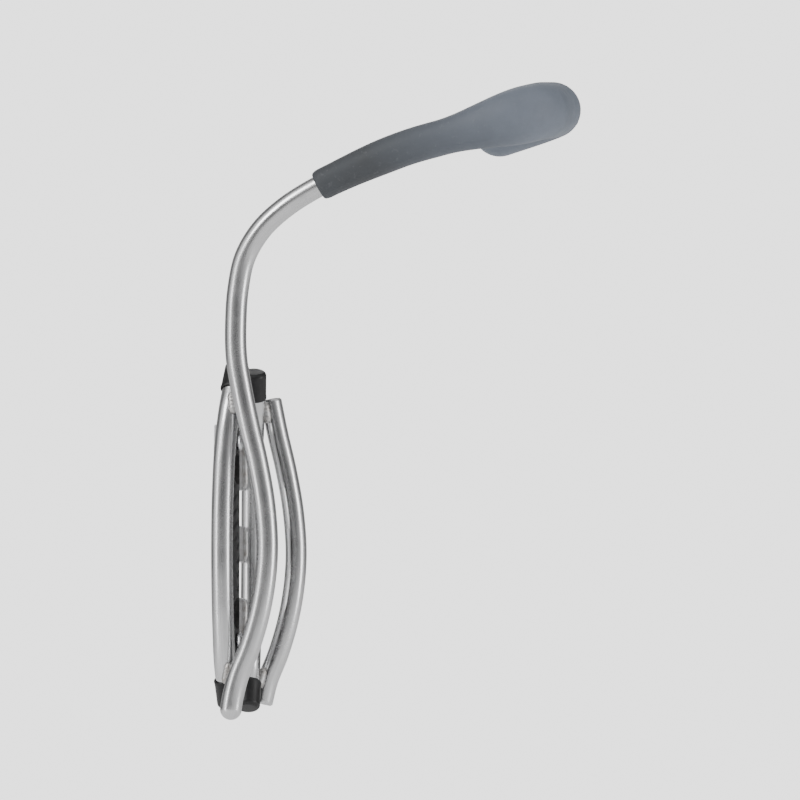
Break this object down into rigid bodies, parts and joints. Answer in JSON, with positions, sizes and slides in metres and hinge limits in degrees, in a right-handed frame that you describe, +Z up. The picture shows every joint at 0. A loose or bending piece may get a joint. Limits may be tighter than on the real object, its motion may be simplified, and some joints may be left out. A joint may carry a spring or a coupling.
{
  "type": "bicycle wall rack",
  "caption": "Wall rack of bent steel rod that holds a bicycle upright by its front wheel, with a rubber-covered hook for the rim and a pad for the tyre.",
  "frame": {"origin": "on the wall plane, at the back face of the middle strap, halfway across and up the rack's wall frame", "axes": "+X out of the wall, +Z up, -Y towards the side that carries the hook's arm"},
  "size_m": [0.157, 0.0873, 0.2828],
  "materials": {
    "steel_rod": "satin silver with fine lines along the bar",
    "steel_strap": "satin silver",
    "sleeve_rubber": "matte blue-grey rubber",
    "pad_rubber": "matte black ribbed rubber",
    "cap_vinyl": "soft black vinyl",
    "zinc_screw": "bright zinc plate"
  },
  "bodies": {
    "root": {"hook_rod": "steel_rod", "far_bow_rod": "steel_rod", "near_wall_rod": "steel_rod", "far_wall_rod": "steel_rod", "upper_strap": "steel_strap", "middle_strap": "steel_strap", "lower_strap": "steel_strap", "hook_sleeve": "sleeve_rubber", "tyre_pad": "pad_rubber", "near_upper_cap": "cap_vinyl", "near_lower_cap": "cap_vinyl", "far_upper_cap": "cap_vinyl", "far_lower_cap": "cap_vinyl", "upper_pad_screw": "zinc_screw", "lower_pad_screw": "zinc_screw"}
  },
  "joints": []
}
